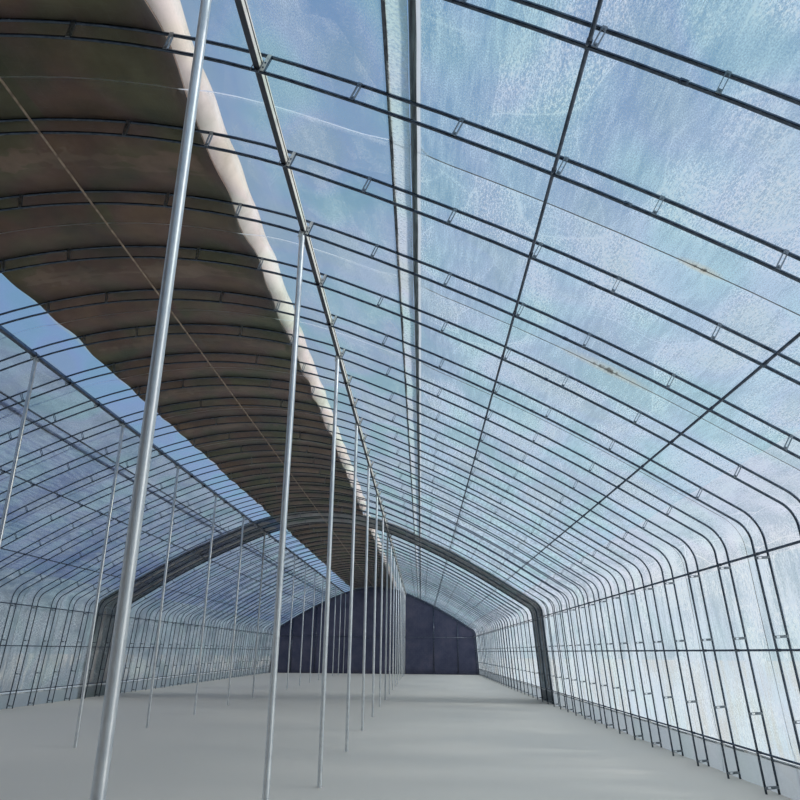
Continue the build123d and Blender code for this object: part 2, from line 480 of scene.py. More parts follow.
post_steel = steel("post_steel", (0.98, 0.98, 0.97), (0.86, 0.87, 0.88), 0.55, 25, upright=0.9)
rib_steel = steel("rib_steel", (0.13, 0.16, 0.2), (0.07, 0.09, 0.12), 0.22, 38)
pipe_steel = steel("pipe_steel", (0.15, 0.17, 0.21), (0.08, 0.1, 0.13), 0.28, 30)
rod_steel = steel("rod_steel", (0.5, 0.38, 0.28), (0.22, 0.15, 0.11), 0.5, 30, metal=0.3)
bracket_steel = steel("bracket_steel", (0.75, 0.75, 0.72), (0.5, 0.51, 0.5), 0.45, 60, metal=0.5)
link_steel = steel("link_steel", (0.3, 0.32, 0.34), (0.15, 0.17, 0.19), 0.4, 90)
print("steel materials ready")

# %% [markdown]
# ## The ribs
# Each rib is two bent tubes, 26 mm across on the real house, that run from the ground over the ridge and back to
# the ground. Rings of corners along the arch formula make one smooth tube, and the mesh is repeated for every bay.

# %% Ribs
bay = 0.5
bay_count = 54
first_rib = -bay * bay_count / 2
rib_places = [first_rib + bay * number for number in range(bay_count + 1)]
tube_radius = 0.0065
chord_spacing = 0.07
tube_sides = 10


def chord_distances(offset):
    """Distances of the rings of one chord, from the left foot to the right foot."""
    crown = np.linspace(0, crown_end, 11)
    slope = np.linspace(crown_end, slope_end, 8)[1:]
    shoulder = np.linspace(run_end, eave, 10)
    return both_halves(np.concatenate([crown, slope, shoulder, [ground_distance(offset)]]))


rib_nodes = [
    stretch + "_" + side
    for stretch in ("crown_ribs", "upper_slope_ribs", "lower_slope_ribs", "shoulder_ribs", "wall_ribs")
    for side in ("right", "left")
]
rib_moves = [(0, y, 0) for y in rib_places]
for name, offset in (("inner_chords", 0), ("outer_chords", chord_spacing)):
    chord = arch_tube(chord_distances(offset), offset, tube_radius, tube_sides)
    make_piece(name, *copies(chord, rib_moves), rib_steel, "galvanised_tube", rib_nodes)

# %% [markdown]
# ## The links
# Short brackets of bent strip hold the two chords apart. Each has two thin legs, a flat tab on each chord, and a
# bolt through each tab, so that the sky shows between the legs. One is modelled in the plane of the arch and
# then set at every link of every rib. Beside the beam, a plate with two bolts and a single leg joins the chords
# instead.

# %% Links
link_width = 0.014
link_depth = 0.011
strip = 0.0024
tab = 0.015
bolt_radius = 0.0028
bolt_height = 0.0018


def block(t0, t1, y0, y1, n0, n1):
    """Corners and faces of a box in the arch's own directions."""
    corners = [(t, y, n) for t in (t0, t1) for y in (y0, y1) for n in (n0, n1)]
    faces = [(0, 1, 3, 2), (4, 6, 7, 5), (0, 4, 5, 1), (2, 3, 7, 6), (0, 2, 6, 4), (1, 5, 7, 3)]
    return corners, faces


def bolt_head(t, y, n, radius=bolt_radius, height=bolt_height):
    """Six-sided head on a face that looks along the house."""
    return [(t + a, y - depth, n + b) for depth in (0, height) for a, b in round_ring(radius, 6)], ring_faces(2, 6)


link_face = -tube_radius - strip


def link_shape(distance, webbed=False):
    """Two legs between the chords, with a tab and a bolt on each chord. On the walls a web joins the legs."""
    low, high = -tube_radius * 0.5, chord_spacing + tube_radius * 0.5
    half, inner = link_width / 2, link_width / 2 - strip
    front, back = link_face + link_depth, link_face + strip
    parts = [
        block(-half, -inner, link_face, front, low, high),
        block(inner, half, link_face, front, low, high),
        block(-inner, inner, link_face, back, low, low + tab),
        block(-inner, inner, link_face, back, high - tab, high),
        bolt_head(0, link_face, low + tab * 0.6),
        bolt_head(0, link_face, high - tab * 0.6),
    ]
    if webbed:
        parts.append(block(-inner, inner, link_face, back, (low + high) / 2 - 0.006, high - tab))
    return on_arch(distance, *parts)


def plate_shape(distance):
    """Flat plate on both chords."""
    return on_arch(distance, block(-0.008, 0.006, link_face, link_face + strip, -0.002, chord_spacing + 0.002))


def plate_dark_parts(distance):
    """Two bolts on the plate, and the single leg beside it."""
    bolts = [bolt_head(-0.001, link_face, n, 0.0036) for n in (0.012, 0.033)]
    return on_arch(distance, *bolts, block(0.0062, 0.0082, link_face, link_face + link_depth, 0, chord_spacing))


beam_x = 1.039
upper_purlin_x = 2.022
plate_gap = 0.024
splice_gap = 0.255
purlin_link = 0.018
upper_purlin = distance_at_x(upper_purlin_x)
lower_purlin = distance_at_x(lower_purlin_x)
beam_distance = distance_at_x(beam_x)
roof_links = [
    0.36, 0.72, beam_distance + 0.36,
    upper_purlin - 0.345, upper_purlin + purlin_link, upper_purlin + 0.34,
    lower_purlin - 0.2, lower_purlin + 0.33,
]
wall_links = [distance_at_height(height) for height in (1.2, 0.8, 0.4, 0.03)]
link_rows = [(distance, False) for distance in roof_links] + [(distance, True) for distance in wall_links]
plate_row = (beam_distance + plate_gap,)
for name, shape, material in (
    ("rib_links", on_both_sides(link_shape, *link_rows), link_steel),
    ("beam_plates", on_both_sides(plate_shape, plate_row), bracket_steel),
    ("plate_bolts", on_both_sides(plate_dark_parts, plate_row), rib_steel),
):
    make_piece(name, *copies(shape, rib_moves), material, "galvanised_tube", rib_nodes, smooth=False)

# %% [markdown]
# The inner chord is spliced once on each slope. A short sleeve covers the joint and shows as a dark knot.

# %% Splices
splice_half = 0.012


def sleeve(distance):
    """Short tube over the inner chord."""
    ends = distance + math.copysign(splice_half, distance) * np.array([-1, 0, 1])
    return arch_tube(ends, 0, tube_radius + 0.0014, 12)


splices = on_both_sides(sleeve, (upper_purlin + splice_gap,))
make_piece("chord_splices", *copies(splices, rib_moves), rib_steel, "galvanised_tube", rib_nodes)

# %% [markdown]
# ## Posts and beams
# A round post stands under every third rib. Its top is cut to the slope of the rib and held by two small cheek
# plates. On the inner chords over each row of posts lies a grooved tube, turned with the roof and tied by U bolts.

# %% Posts
post_radius = 0.013


def under_chord(x):
    """Height of the inner chord's underside over a place on the floor."""
    place, out = arch(distance_at_x(abs(x)), -tube_radius)
    slope = out[0] / out[1]
    return place[1] - (abs(x) - place[0]) * slope


def post_shape(x, sides=28):
    """Round post on the floor whose top follows the rib."""
    ring = [(x + a, b) for a, b in round_ring(post_radius, sides)]
    corners = [(px, py, 0) for px, py in ring] + [(px, py, under_chord(px) - 0.001) for px, py in ring]
    return np.array(corners), ring_faces(2, sides)


post_moves = [(0, y, 0) for y in rib_places[::3]]
for word, side in (("right", 1), ("left", -1)):
    row = copies(post_shape(side * beam_x), post_moves)
    make_piece("posts_" + word, *row, post_steel, "post_tube", ["post_row_" + word])

# %% Beams and purlins
house_end = -first_rib + 0.013


def profile_along(distance, offset, ring, y_start=-house_end, y_end=house_end):
    """Bar along the house whose section, as (down the arch, out from the inner chord), is set on the arch."""
    corners = []
    for y in (y_start, y_end):
        corners += along_arch(distance, [(t, y, offset + n) for t, n in ring])
    return np.array(corners), ring_faces(2, len(ring))


def grooved(width, height, corner, groove_low, groove_high, depth, steps=4):
    """Box section with round corners and a groove in its downhill face."""
    ring = []
    for quarter, (cx, cy) in enumerate(((1, 1), (-1, 1), (-1, -1), (1, -1))):
        for k in range(steps + 1):
            turned = math.pi / 2 * (quarter + k / steps)
            t = cx * (width / 2 - corner) + corner * math.cos(turned)
            ring.append((t, cy * (height / 2 - corner) + corner * math.sin(turned)))
    face, back = width / 2, width / 2 - depth
    return ring + [(face, groove_low), (back, groove_low), (back, groove_high), (face, groove_high)]


beam_width = 0.025
beam_height = 0.031
beam_ring = grooved(beam_width, beam_height, 0.003, 0.0015, 0.0075, 0.012)
# The pale beam steel carries painted shade on the faces that look down.
beam_steel = steel("beam_steel", (0.95, 0.93, 0.86), (0.82, 0.79, 0.72), 0.45, 28, (0.06, 0.065, 0.08), 0.1)
seat = 0.0006
# The left beam takes the dark pipe steel instead of the pale beam steel: painted shade.
for word, side, material in (("right", 1, beam_steel), ("left", -1, pipe_steel)):
    beam = profile_along(side * beam_distance, tube_radius + beam_height / 2 + seat, beam_ring)
    make_piece("post_beam_" + word, *beam, material, "galvanised_tube", ["post_beams"], smooth=False)

purlin_radius = 0.006
eave_pipe_radius = 0.007
ridge_rod_radius = 0.005
purlin_distances = [upper_purlin, lower_purlin]
wall_pipe_distances = [distance_at_height(0.736), distance_at_height(0.204)]
eave_pipe_distance = distance_at_height(1.221)


def pipe(distance, radius):
    """Round pipe along the house, on top of the inner chords."""
    return profile_along(distance, tube_radius + radius + seat, round_ring(radius, 16))


for name, radius, distances in (
    ("slope_purlins", purlin_radius, purlin_distances),
    ("eave_pipes", eave_pipe_radius, [eave_pipe_distance]),
    ("wall_pipes", purlin_radius, wall_pipe_distances),
):
    pipes = on_both_sides(pipe, *[(distance, radius) for distance in distances])
    make_piece(name, *pipes, pipe_steel, "galvanised_tube", [name])
ridge_rod = profile_along(0, -tube_radius - ridge_rod_radius, round_ring(ridge_rod_radius, 14))
make_piece("ridge_rod", *ridge_rod, rod_steel, "galvanised_tube", ["ridge_rod"])

# %% [markdown]
# ## Clamps
# Where a pipe crosses a rib it is held by a small clamp, which shows as a thicker dark knot in the photograph. The
# beams have a U bolt with a nut on each leg, and the posts have cheek plates on both sides of the rib.

# %% Clamps and U bolts
plate = 0.0022


def rod_path(points, radius, sides=7):
    """Thin bent rod through points in one plane across the house, given as (down the arch, along, out)."""
    points = np.array(points, float)
    steps = np.gradient(points, axis=0)
    steps /= np.linalg.norm(steps, axis=1)[:, None]
    across = np.array([0.0, 1.0, 0.0])
    corners = [
        point + a * across + b * np.cross(step, across)
        for point, step in zip(points, steps)
        for a, b in round_ring(radius, sides)
    ]
    return np.array(corners), ring_faces(len(points), sides)


def nut(t, y, n, radius=0.0038, height=0.003):
    """Six-sided nut whose axis points out of the arch."""
    return [(t + a, y + b, n + lift) for lift in (0, height) for a, b in round_ring(radius, 6)], ring_faces(2, 6)


def u_bolt(distance, half, top, y):
    """U bolt over a bar, with its legs down beside the chord."""
    corner = 0.004
    low = -0.0105
    leg = [(half, low), (half, top - corner), (half - corner * 0.3, top - corner * 0.3), (half - corner, top)]
    path = [(-t, y, n) for t, n in leg] + [(t, y, n) for t, n in leg[::-1]]
    return on_arch(distance, rod_path(path, 0.0018), nut(-half, y, low + 0.0005), nut(half, y, low + 0.0005))


def clamp(distance, radius):
    """Short sleeve round a pipe of this radius, with a bolt lug that holds the chord."""
    lift = tube_radius + radius + seat
    corners = [(t, y, lift + n) for y in (-0.011, 0.011) for t, n in round_ring(radius + 0.002, 10)]
    lug = block(-0.004, 0.004, -tube_radius - plate, -tube_radius, -0.004, lift)
    other = block(-0.004, 0.004, tube_radius, tube_radius + plate, -0.004, lift)
    bolt = nut(0, -tube_radius - 0.001, -0.0075, 0.003, 0.0026)
    return on_arch(distance, (corners, ring_faces(2, 10)), lug, other, bolt)


def cheek_plates(distance):
    """Two plates beside the rib and the post, with a bolt through them."""
    parts = []
    for y in (-tube_radius - 0.0048, tube_radius + 0.0026):
        parts.append(block(-0.011, 0.011, y, y + plate, -0.03, 0.006))
        parts += [bolt_head(t, y, n, 0.0038, plate) for t, n in ((0.0, -0.001), (0.004, -0.021))]
    return on_arch(distance, *parts)


clamp_steel = steel("clamp_steel", (0.22, 0.24, 0.27), (0.12, 0.13, 0.16), 0.5, 70)
clamp_rows = [(distance, purlin_radius) for distance in purlin_distances + wall_pipe_distances]
clamps = copies(on_both_sides(clamp, *clamp_rows, (eave_pipe_distance, eave_pipe_radius)), rib_moves)
make_piece("pipe_clamps", *clamps, clamp_steel, "galvanised_tube", ["slope_purlins"], smooth=False)

bolt_row = (beam_distance, beam_width / 2 + plate, tube_radius + beam_height + 0.0026, -tube_radius - strip)
bolts = copies(on_both_sides(u_bolt, bolt_row), rib_moves)
make_piece("beam_bolts", *bolts, clamp_steel, "galvanised_tube", ["post_beams"])

plates = copies(on_both_sides(cheek_plates, (beam_distance,)), post_moves)
make_piece("post_plates", *plates, bracket_steel, "galvanised_tube", ["post_row_right"], smooth=False)

# %% [markdown]
# ## Plastic film
# The film is three things at once: a clear sheet, a milky haze that glows when light hits it from behind, and a
# gloss. Rubbed dust gathers in streaks and flecks along the house, so the haze follows noises that are stretched
# that way. The clear crown has little haze, the slopes have much, and the walls are nearly white. Where quilts lie
# on the film it looks colourless; next to them it looks blue. The left side gets less sun, and its film colours
# are painted dimmer, as shade.

# %% Film material
colourless = (0.9, 0.9, 0.88)
bluish = (0.68, 0.8, 1.0)
clean = (0.86, 0.9, 0.9)


def film_material(
    name, haze, coverage, streak, fleck, share, bands=(), hem=None, stains=(), bump_strength=0.3,
    grain=((130, 230), 0.14), cells=(1.7, 3.1), crease=0.4, hue_share=1.0,
):
    """Film with clear and milky parts. The flat coordinates are (along the house, down the arch).

    coverage is the least and the most haze of the streaks. Flecks and creases add their share where they gather.
    streak, fleck, grain and cells are how closely the film changes each way. grain also has its strength.
    bands lists (distance down the arch, tint, share of the haze), and stands in for one clean tint.
    hem is where an edge is folded double: it is white at one distance and fades out at the other.
    """
    material, nodes = new_material(name)
    mapped, mixed, math_of = nodes.mapped, nodes.mixed, nodes.math
    flat = nodes.place("UV")
    along, down, _ = nodes.axes(flat)

    def noise(place, stretch, detail, roughness=0.6):
        return nodes.noise(nodes.stretched(place, stretch), 1, detail, roughness, "2D")

    def total(first, *more):
        for value in more:
            first = math_of("ADD", first, value)
        return first

    def product(first, *more):
        for value in more:
            first = math_of("MULTIPLY", first, value)
        return first

    # Facets: the film is creased into panels, each with its own share of dust
    wobble = nodes.noise(flat, 1.7, 1, 0.5, "2D").node.outputs["Color"]
    bent = nodes.add("VectorMath", {0: wobble, 1: (0.4, 0.16, 0), 2: flat}, operation="MULTIPLY_ADD").outputs[0]
    panel_inputs = {"Vector": nodes.stretched(bent, cells), "Scale": 1}
    panels = nodes.add("TexVoronoi", panel_inputs, voronoi_dimensions="2D")
    panel = nodes.axes(panels.outputs["Color"])["X"]

    # Where a rope presses the film: on one side fewer flecks gather, which is a painted shade band, and on the
    # other the haze is raised, which is a painted highlight
    phase = math_of("FRACT", math_of("SUBTRACT", along, 0.25), 0.0)
    smooth = mapped(phase, 0.82, 0.92)
    lit = mapped(phase, 0, 0.03, 0.45, 0)

    streaks = noise(flat, streak, 4, 0.66)
    clouds = noise(bent, (0.9, 1.5), 2, 0.55)
    gathered = mapped(noise(bent, (1.5, 3), 2), 0.34, 0.54)
    gathered = product(gathered, mapped(panel, 0.1, 0.5, 0.35, 1), math_of("SUBTRACT", 1, product(smooth, 0.85)))
    specks = product(mapped(noise(flat, fleck, 3, 0.75), 0.42, 0.66), gathered)
    creases = 0.0
    if crease:
        edges = nodes.add("TexVoronoi", panel_inputs, voronoi_dimensions="2D", feature="DISTANCE_TO_EDGE")
        creases = mapped(edges.outputs["Distance"], 0, 0.02, 1, 0)
        creases = product(creases, total(gathered, 0.25), crease)
    cover = total(
        mapped(total(streaks, product(clouds, 0.7)), 0.68, 1.02, *coverage),
        mapped(panel, 0, 1, -0.07, 0.07),
        mapped(noise(flat, grain[0], 1), 0.3, 0.7, -grain[1], grain[1]),
        mapped(down, 1.7, 3.1, 0, 0.2),
        product(specks, share), creases, lit,
    )

    hues = nodes.ramp(
        noise(bent, (1.8, 2.6), 1),
        (0.32, (0.9, 1, 0.94)), (0.45, (0.97, 1, 1)), (0.56, (1, 0.95, 1)), (0.68, (1, 0.96, 0.94)),
    )
    hue = mixed(hue_share, (1, 1, 1), hues)
    tint = clean
    if bands:
        reach = bands[-1][0]
        stops = [(distance / reach, (*band_tint, band_share)) for distance, band_tint, band_share in bands]
        tint = nodes.ramp(mapped(down, 0, reach), *stops)
        cover = product(cover, tint.node.outputs["Alpha"])
    if hem:
        folded = mapped(down, *hem, 1, 0)
        cover = math_of("MAXIMUM", cover, folded)

    white = math_of("MAXIMUM", product(specks, min(1, 2 * share)), creases)
    milky = mixed(1, mixed(white, haze, (0.94, 0.98, 0.98)), hue, "MULTIPLY")
    if hem:
        milky = mixed(folded, milky, (0.95, 0.98, 1.0))
    for spot_along, spot_down, half_long, half_wide in stains:
        off_along = math_of("DIVIDE", math_of("SUBTRACT", along, spot_along), half_long)
        off_down = math_of("DIVIDE", math_of("SUBTRACT", down, spot_down), half_wide)
        frayed = product(math_of("SUBTRACT", streaks, 0.5), 0.9)
        ragged = total(product(off_along, off_along), product(off_down, off_down), frayed)
        for reach, strength, stain_colour in ((1.0, 0.65, (0.85, 0.72, 0.5)), (0.14, 0.9, (0.12, 0.1, 0.07))):
            stained = mapped(ragged, 0.1 * reach, reach, strength, 0)
            milky = mixed(stained, milky, stain_colour)
            cover = math_of("MAXIMUM", cover, stained)

    wrinkled = nodes.bump(noise(flat, streak, 2), bump_strength, 0.004)
    clear = nodes.add("BsdfTransparent", {"Color": mixed(1, tint, hue, "MULTIPLY")})
    sheen = nodes.add("BsdfPrincipled", {"Base Color": milky, "Roughness": 0.32, "IOR": 1.5, "Normal": wrinkled})
    glow = nodes.add("BsdfTranslucent", {"Color": milky, "Normal": wrinkled})
    hazy = nodes.add("MixShader", {0: 0.62, 1: sheen.outputs[0], 2: glow.outputs[0]})
    nodes.show(nodes.add("MixShader", {0: cover, 1: clear.outputs[0], 2: hazy.outputs[0]}))
    return material


cover_right = distance_at_x(0.667)
cover_left = distance_at_x(0.78)
roof_clip_distance = distance_at_x(1.463)
vent_distance = distance_at_x(1.544)
slope_hem = vent_distance + 0.016
skirt_distance = distance_at_height(0.163)

wall_hem = (skirt_distance - 0.022, skirt_distance - 0.026)
# The left crown, slope, shoulder and wall films have dimmer haze colours than the right ones: painted shade.
films = {film.name: film for film in (
    film_material(
        "crown_film_right", (0.76, 0.88, 0.93), (0.0, 0.35), (1.2, 4), (9, 14), 0.2,
        [(0, colourless, 0.15), (0.755, colourless, 0.15), (0.775, clean, 0.4), (1.2, clean, 1), (1.6, clean, 1)],
        bump_strength=0.12, crease=0,
    ),
    film_material(
        "crown_film_left", (0.34, 0.4, 0.52), (0.25, 0.65), (1.2, 4), (9, 14), 0.2,
        [(0, colourless, 0.05), (cover_left - 0.01, colourless, 0.05), (cover_left + 0.01, bluish, 0.05),
         (1.06, bluish, 0.15), (1.1, clean, 1), (1.6, clean, 1)],
        bump_strength=0.12, crease=0,
    ),
    film_material(
        "vent_strip_right", (0.95, 1.0, 0.97), (0.75, 1.0), (3, 40), (60, 90), 0.4, grain=((90, 60), 0.3)
    ),
    film_material(
        "slope_film_right", (0.71, 0.87, 0.95), (0.1, 0.62), (5, 34), (55, 150), 0.75,
        hem=(slope_hem + 0.012, slope_hem + 0.018), stains=[(-8.752, 2.62, 0.06, 0.27), (-9.75, 2.7, 0.03, 0.1)],
        grain=((150, 260), 0.2), hue_share=0.8,
    ),
    film_material(
        "slope_film_left", (0.27, 0.33, 0.51), (0.35, 0.75), (4, 34), (60, 150), 0.3, hue_share=0.8
    ),
    film_material(
        "shoulder_film_right", (0.86, 0.89, 0.95), (0.1, 0.72), (5, 12), (60, 120), 0.4,
        cells=(0.9, 9), crease=0.8, hue_share=0.5,
    ),
    film_material(
        "shoulder_film_left", (0.34, 0.4, 0.46), (0.3, 0.75), (5, 12), (60, 120), 0.3,
        cells=(1.6, 7), crease=0.6, hue_share=0.5,
    ),
    film_material(
        "wall_film_right", (0.75, 0.85, 0.93), (0.1, 0.85), (12, 2), (70, 30), 0.6,
        hem=wall_hem, grain=((120, 90), 0.12), crease=0, hue_share=0.3,
    ),
    film_material(
        "wall_film_left", (0.35, 0.41, 0.45), (0.4, 0.8), (11, 2.6), (70, 35), 0.4,
        hem=wall_hem, crease=0, hue_share=0.4,
    ),
    film_material(
        "skirt_film_right", (0.37, 0.42, 0.46), (0.7, 0.75), (4, 3), (40, 20), 0.03, crease=0, hue_share=0.3
    ),
    film_material(
        "skirt_film_left", (0.4, 0.45, 0.48), (0.7, 0.75), (4, 3), (40, 20), 0.03, crease=0, hue_share=0.3
    ),
)}
print(len(films), "film materials")

# %% [markdown]
# ## Film sheets
# Every sheet is a fine grid between two distances down the arch. It rests on the outer chords, swells a little
# between them, and is pulled in by a rope in the middle of every second bay. Under the quilts it sags instead. On
# the right the clear crown ends at the clip channel, and a strip goes on from there to the rolled vent pipe. On
# the left the vent is shut, so the slope film reaches the clip.

# %% Film sheets
film_rest = chord_spacing + tube_radius + 0.0008
band_half = 0.6
part_start = band_half + 0.02
rope_places = [y + bay / 2 for y in rib_places[1::2][:-1] if abs(y + bay / 2) > part_start]
rope_radius = 0.002
groove_depth = 0.007
groove_half = 0.055
roped_swell = 0.0025
free_swell = 0.004
ripple_height = 0.0035
quilt_sag_depth = 0.018
quilted_half = 0.86
quilted_fade = 0.12
hold_reach = 0.16
left_shift = 40
held_lines = [roof_clip_distance, vent_distance, skirt_distance]
ripple_waves = random_waves(5, 14, (3, 16), (4, 30), (0, 6.28), (0.3, 1))


def quilt_sag(distance, y):
    """How far the quilts press the film down between two ribs."""
    off_middle = np.abs(distance - (cover_right - cover_left) / 2)
    weight = np.clip((quilted_half - off_middle) / quilted_fade, 0, 1)
    return quilt_sag_depth * weight * np.sin(math.pi * (y - first_rib) / bay) ** 2


def freedom(distance):
    """0 where a clip or the vent pipe holds the film, and 1 well away from them."""
    nearest = np.min([np.abs(np.abs(distance) - held) for held in held_lines], axis=0)
    return np.clip(nearest / hold_reach, 0, 1)


def film_offset(distance, y):
    """How far the film stands out from the inner chord. distance and y are arrays."""
    phase = np.mod((y - first_rib) / bay, 1)
    swell = np.sin(math.pi * phase) ** 2
    number = np.clip(np.floor((y - first_rib) / bay).astype(int), 0, bay_count - 1)
    roped = np.isin(number, [round((place - first_rib) / bay - 0.5) for place in rope_places])
    pull = np.exp(-((phase - 0.5) * bay / groove_half) ** 2)
    ripples = sum(
        strength * np.sin(u * y * 2 + v * distance + start) for u, v, start, strength in ripple_waves
    ) / len(ripple_waves)
    roped_lift = roped_swell * swell - groove_depth * freedom(distance) * pull
    lift = np.where(roped, roped_lift, free_swell * swell)
    return film_rest + lift + ripple_height * ripples * np.minimum(1, 3 * swell) - quilt_sag(distance, y)


def film_grid(start, end, rows, side):
    """Corners, faces and flat coordinates of a sheet between two distances down the arch.

    The flat coordinates of the left side are shifted, so that its dust isn't the mirror image of the right side's.
    """
    ys = np.linspace(-house_end, house_end, bay_count * 10 + 1)
    distances = np.linspace(start, end, rows + 1)
    corners, uv = [], []
    for distance in distances:
        place, out = arch(distance, 0)
        lifts = film_offset(np.full(len(ys), side * distance), ys)
        foot_shift = 0.0 if distance < foot else math.tan(wall_lean)
        for y, lift in zip(ys, lifts):
            down_more = lift * foot_shift
            corners.append((
                side * (place[0] + out[0] * lift + out[1] * down_more),
                y,
                place[1] + out[1] * lift - out[0] * down_more,
            ))
            uv.append((y if side > 0 else y + left_shift, distance))
    faces = grid_faces(rows + 1, len(ys))
    return corners, faces if side > 0 else backwards(faces), uv


shoulder_link_x = 3.119
shoulder_link = slope_end + (shoulder_link_x - lower_purlin_x) / math.cos(shoulder_turn)
eave_link = distance_at_height(1.207)
film_stretches = [
    ("crown_film", "right", 0, roof_clip_distance, 20),
    ("crown_film", "left", 0, roof_clip_distance, 20),
    ("vent_strip", "right", roof_clip_distance, vent_distance - 0.012, 3),
    ("slope_film", "right", slope_hem, shoulder_link, 24),
    ("slope_film", "left", roof_clip_distance, shoulder_link, 26),
]
for word in ("right", "left"):
    film_stretches += [
        ("shoulder_film", word, shoulder_link, eave_link, 14),
        ("wall_film", word, eave_link, skirt_distance, 10),
        ("skirt_film", word, skirt_distance, foot, 3),
    ]
for stretch, word, start, end, rows in film_stretches:
    corners, faces, uv = film_grid(start, end, rows, 1 if word == "right" else -1)
    node = "crown_film" if stretch == "vent_strip" else stretch
    slot = "clear_film" if stretch == "crown_film" else "frosted_film"
    name = stretch + "_sheet_" + word
    sheet = make_piece(name, corners, faces, films[stretch + "_" + word], slot, [node + "_" + word], uv=uv)

# %% [markdown]
# ## Press ropes
# Thin ropes go over the film in every second bay, from the ground on one side to the ground on the other. They dip
# with the film and rise over the clip channels and the rolled vent pipes. Over the clear crown they are flat
# bands, which glow white against the sky, and further down round cords, painted dark grey as shade.

# %% Press ropes
clip_depth = 0.006
vent_pipe_radius = 0.017
flat_rope_half = 0.003
rope_points = np.concatenate([
    np.linspace(0, roof_clip_distance - 0.18, 13),
    np.linspace(roof_clip_distance - 0.14, roof_clip_distance + 0.012, 7),
    np.linspace(vent_distance - 0.055, vent_distance + 0.055, 11),
    np.linspace(vent_distance + 0.08, vent_distance + 0.2, 4),
    np.linspace(vent_distance + 0.3, run_end, 8),
    np.linspace(run_end, eave, 8)[1:],
    [eave + 0.3, eave + 0.6, skirt_distance - 0.1, skirt_distance, skirt_distance + 0.1, foot - 0.002],
])


def rope_lift(distance):
    """How far a rope lies out from the inner chord: in its groove, or over a clip or the vent roll."""
    groove = groove_depth * float(freedom(distance)) + float(quilt_sag(distance, first_rib + bay / 2))
    lift = film_rest - groove + rope_radius + 0.0008
    clip_top = film_rest + clip_depth + 0.0032 + rope_radius
    for held in (roof_clip_distance, skirt_distance):
        lift = max(lift, clip_top - 0.14 * max(0, abs(abs(distance) - held) - 0.01))
    roll_top = film_rest + 2 * vent_pipe_radius + 0.003 + rope_radius
    off_roll = abs(abs(distance) - vent_distance)
    if off_roll < vent_pipe_radius:
        return roll_top - vent_pipe_radius + math.sqrt(vent_pipe_radius ** 2 - off_roll ** 2)
    return max(lift, roll_top - vent_pipe_radius - 0.5 * (off_roll - vent_pipe_radius))


def flat_rope(distances, y):
    """Flat band instead of a round cord, where the light shows through it."""
    corners = []
    for distance in distances:
        (x, z), _ = arch(distance, rope_lift(distance))
        corners += [(x, y - flat_rope_half, z), (x, y + flat_rope_half, z)]
    faces = [(2 * k, 2 * k + 1, 2 * k + 3, 2 * k + 2) for k in range(len(distances) - 1)]
    return np.array(corners), faces


def rope_material(name, dark, light, share_through):
    """Twisted cord, which lets some light through."""
    material, nodes = new_material(name)
    strands = nodes.add("TexWave", {"Vector": nodes.place("Object"), "Scale": 120, "Distortion": 2})
    twist = nodes.ramp(strands.outputs["Fac"], (0, dark), (1, light))
    cord = nodes.add("BsdfPrincipled", {"Base Color": twist, "Roughness": 0.6})
    through = nodes.add("BsdfTranslucent", {"Color": twist})
    nodes.show(nodes.add("MixShader", {0: share_through, 1: cord.outputs[0], 2: through.outputs[0]}))
    return material


white_rope = rope_material("white_rope", (0.92, 0.95, 0.97), (0.97, 0.98, 1), 0.92)
# The same rope down the slopes is painted dark grey, as shade.
painted_shade_rope = rope_material("painted_shade_rope", (0.2, 0.2, 0.19), (0.4, 0.39, 0.37), 0.3)
crown_points = rope_points[rope_points < roof_clip_distance]
slope_points = rope_points[rope_points >= crown_points[-1]]
crown_ropes = joined([flat_rope(both_halves(crown_points), y) for y in rope_places])
slope_ropes = joined([
    arch_tube(side * slope_points, rope_lift, rope_radius, 6, y) for y in rope_places for side in (1, -1)
])
make_piece("press_ropes_crown", *crown_ropes, white_rope, "white_clip")
make_piece("press_ropes_slope", *slope_ropes, painted_shade_rope, "white_clip")

# %% [markdown]
# ## Clips and vent rolls
# A folded channel clips the film along the roof and the skirt. Each vent pipe has film rolled round it, loose
# enough to look wavy and grey.

# %% Clip channels
def channel(distance, width=0.014, wall=0.0012):
    """Open channel with lips that turn in."""
    half, lip, depth = width / 2, width * 0.18, clip_depth
    left = [
        (-half, 0), (-half, depth), (-half + lip, depth),
        (-half + lip, depth - wall), (-half + wall, depth - wall), (-half + wall, wall),
    ]
    ring = left + [(-t, n) for t, n in left[::-1]]
    corners, _ = profile_along(distance, film_rest + 0.0022, ring)
    count = len(ring)
    faces = ring_faces(2, count, closed_ends=False)
    end_faces = [(0, 11, 6, 5), (0, 5, 4, 1), (1, 4, 3, 2), (11, 10, 7, 6), (10, 9, 8, 7)]
    return corners, faces + end_faces + [tuple(number + count for number in face[::-1]) for face in end_faces]


dark_clip = steel("dark_clip", (0.2, 0.22, 0.24), (0.1, 0.11, 0.13), 0.5, 40)
white_clip, nodes = new_material("white_clip")
dusty = nodes.ramp(nodes.noise(nodes.place("Object"), 18, 6), (0.35, (0.55, 0.53, 0.5)), (0.6, (0.85, 0.86, 0.86)))
nodes.show(nodes.add("BsdfPrincipled", {"Base Color": dusty, "Roughness": 0.45}))
for name, distance, material, slot in (
    ("roof_clips", roof_clip_distance, dark_clip, "clip_steel"),
    ("skirt_clips", skirt_distance, white_clip, "white_clip"),
):
    make_piece(name, *on_both_sides(channel, (distance,)), material, slot, [name], smooth=False)

